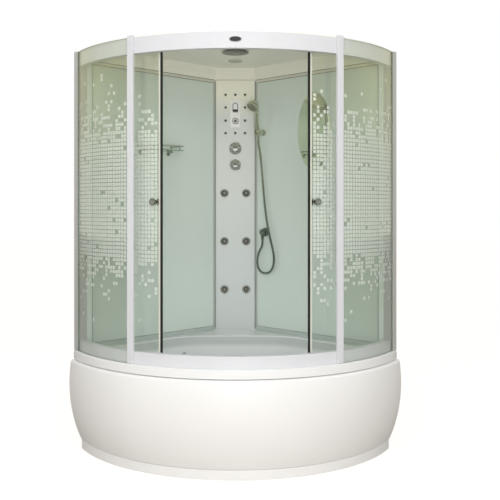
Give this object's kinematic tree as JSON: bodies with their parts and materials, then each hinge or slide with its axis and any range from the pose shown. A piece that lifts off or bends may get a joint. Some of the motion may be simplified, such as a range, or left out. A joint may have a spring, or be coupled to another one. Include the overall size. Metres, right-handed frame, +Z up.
{
  "type": "shower cabin",
  "caption": "Quadrant corner shower cabin with a deep tub, curved sliding doors, control column, massage jets, hand shower and roof.",
  "frame": {"origin": "centre of the footprint box at floor level", "axes": "+Z up, +Y towards the room corner at the back, +X to the right seen from the front"},
  "size_m": [1.7896, 1.445, 2.2184],
  "materials": {
    "white_acrylic": "gloss",
    "white_profile": "gloss",
    "aluminium": "satin",
    "steel": "galvanised",
    "clear_glass": "polished",
    "green_panel": "back-painted, polished",
    "column_white": "gloss",
    "control_grey": "satin",
    "dark_plastic": "moulded",
    "brass": "cast",
    "pipe_plastic": "moulded",
    "mirror": "silvered",
    "shower_grey": "satin",
    "lamp_white": "frosted",
    "seal": "satin",
    "wheel_plastic": "moulded",
    "chrome": "polished"
  },
  "bodies": {
    "cabin": {"support_frame": "steel", "levelling_feet": "steel", "plinth": "white_acrylic", "apron": "white_acrylic", "tub": "white_acrylic", "bottom_rail": "white_profile", "top_rail": "white_profile", "posts": "white_profile", "wall_profiles": "aluminium", "fixed_glass_left": "clear_glass", "fixed_glass_right": "clear_glass", "wall_frames": "aluminium", "wall_panel_left": "green_panel", "wall_panel_right": "green_panel", "column": "column_white", "control_plate": "control_grey", "control_module": "dark_plastic", "escutcheons": "chrome", "mixer_valve": "brass", "diverter_valve": "brass", "jet_bodies": "dark_plastic", "jet_bezels": "chrome", "spray_nozzles": "chrome", "pipe_set": "pipe_plastic", "bath_filler": "chrome", "hose_elbow": "chrome", "shower_hose": "chrome", "handset_bracket": "chrome", "mirror": "mirror", "shelf_glass": "clear_glass", "shelf_frame": "chrome", "roof": "white_acrylic", "overhead_shower": "shower_grey", "ceiling_lamp": "lamp_white", "waste_body": "chrome", "waste_trap": "pipe_plastic"},
    "door_left": {"door_glass_left": "clear_glass", "door_seal_left": "seal", "door_knob_left": "chrome", "roller_hubs_left": "chrome"},
    "door_right": {"door_glass_right": "clear_glass", "door_seal_right": "seal", "door_knob_right": "chrome", "roller_hubs_right": "chrome"},
    "wheel_top_left_a": {"wheel_top_left_a": "wheel_plastic"},
    "wheel_top_left_b": {"wheel_top_left_b": "wheel_plastic"},
    "wheel_bottom_left_a": {"wheel_bottom_left_a": "wheel_plastic"},
    "wheel_bottom_left_b": {"wheel_bottom_left_b": "wheel_plastic"},
    "wheel_top_right_a": {"wheel_top_right_a": "wheel_plastic"},
    "wheel_top_right_b": {"wheel_top_right_b": "wheel_plastic"},
    "wheel_bottom_right_a": {"wheel_bottom_right_a": "wheel_plastic"},
    "wheel_bottom_right_b": {"wheel_bottom_right_b": "wheel_plastic"},
    "mixer_knob": {"mixer_knob": "chrome"},
    "diverter_knob": {"diverter_knob": "chrome"},
    "power_button": {"power_button": "chrome"},
    "waste_knob": {"waste_knob": "chrome"},
    "waste_plug": {"waste_plug": "chrome"},
    "handset": {"handset_clip": "chrome", "handset": "chrome"}
  },
  "joints": [
    {"name": "door_left_slide", "type": "hinge", "parent": "cabin", "child": "door_left", "pos_m": [0, 0.2825, 0], "axis": [0, 0, 1], "range_deg": [0, 23.19]},
    {"name": "door_right_slide", "type": "hinge", "parent": "cabin", "child": "door_right", "pos_m": [0, 0.2825, 0], "axis": [0, 0, 1], "range_deg": [-23.19, 0]},
    {"name": "wheel_top_left_a_roll", "type": "hinge", "parent": "door_left", "child": "wheel_top_left_a", "pos_m": [-0.43262, -0.53114, 2.1053], "axis": [-0.4695, -0.8829, 0], "range_deg": [-2200, 0]},
    {"name": "wheel_top_left_b_roll", "type": "hinge", "parent": "door_left", "child": "wheel_top_left_b", "pos_m": [-0.7301, -0.27975, 2.1053], "axis": [-0.7923, -0.6101, 0], "range_deg": [-2200, 0]},
    {"name": "wheel_bottom_left_a_roll", "type": "hinge", "parent": "door_left", "child": "wheel_bottom_left_a", "pos_m": [-0.43262, -0.53114, 0.5697], "axis": [-0.4695, -0.8829, 0], "range_deg": [0, 2200]},
    {"name": "wheel_bottom_left_b_roll", "type": "hinge", "parent": "door_left", "child": "wheel_bottom_left_b", "pos_m": [-0.7301, -0.27975, 0.5697], "axis": [-0.7923, -0.6101, 0], "range_deg": [0, 2200]},
    {"name": "wheel_top_right_a_roll", "type": "hinge", "parent": "door_right", "child": "wheel_top_right_a", "pos_m": [0.43262, -0.53114, 2.1053], "axis": [0.4695, -0.8829, 0], "range_deg": [0, 2200]},
    {"name": "wheel_top_right_b_roll", "type": "hinge", "parent": "door_right", "child": "wheel_top_right_b", "pos_m": [0.7301, -0.27975, 2.1053], "axis": [0.7923, -0.6101, 0], "range_deg": [0, 2200]},
    {"name": "wheel_bottom_right_a_roll", "type": "hinge", "parent": "door_right", "child": "wheel_bottom_right_a", "pos_m": [0.43262, -0.53114, 0.5697], "axis": [0.4695, -0.8829, 0], "range_deg": [-2200, 0]},
    {"name": "wheel_bottom_right_b_roll", "type": "hinge", "parent": "door_right", "child": "wheel_bottom_right_b", "pos_m": [0.7301, -0.27975, 0.5697], "axis": [0.7923, -0.6101, 0], "range_deg": [-2200, 0]},
    {"name": "mixer_turn", "type": "hinge", "parent": "cabin", "child": "mixer_knob", "pos_m": [0, 0.5625, 1.686], "axis": [0, -1, 0], "range_deg": [-50, 50]},
    {"name": "diverter_turn", "type": "hinge", "parent": "cabin", "child": "diverter_knob", "pos_m": [0, 0.5625, 1.582], "axis": [0, -1, 0], "range_deg": [-144, 144]},
    {"name": "button_press", "type": "slide", "parent": "cabin", "child": "power_button", "axis": [0, 1, 0], "range_m": [0, 0.002], "stiffness_N_per_m": 400},
    {"name": "waste_turn", "type": "hinge", "parent": "cabin", "child": "waste_knob", "pos_m": [0, 0.26979, 0.398], "axis": [0, -0.9279, 0.3728], "range_deg": [0, 90]},
    {"name": "plug_rise", "type": "slide", "parent": "cabin", "child": "waste_plug", "axis": [0, 0, 1], "range_m": [0, 0.0121]},
    {"name": "handset_tilt", "type": "hinge", "parent": "cabin", "child": "handset", "pos_m": [0.1591, 0.50259, 1.781], "axis": [0.7071, -0.7071, 0], "range_deg": [-6, 29], "deforming": ["shower_hose"]}
  ],
  "couplings": [
    {"joint": "wheel_top_left_a_roll", "follows": "door_left_slide", "ratio": -92.15},
    {"joint": "wheel_top_left_b_roll", "follows": "door_left_slide", "ratio": -92.15},
    {"joint": "wheel_bottom_left_a_roll", "follows": "door_left_slide", "ratio": 92.15},
    {"joint": "wheel_bottom_left_b_roll", "follows": "door_left_slide", "ratio": 92.15},
    {"joint": "wheel_top_right_a_roll", "follows": "door_right_slide", "ratio": -92.15},
    {"joint": "wheel_top_right_b_roll", "follows": "door_right_slide", "ratio": -92.15},
    {"joint": "wheel_bottom_right_a_roll", "follows": "door_right_slide", "ratio": 92.15},
    {"joint": "wheel_bottom_right_b_roll", "follows": "door_right_slide", "ratio": 92.15},
    {"joint": "plug_rise", "follows": "waste_turn", "m_per_rad": 0.007639}
  ]
}
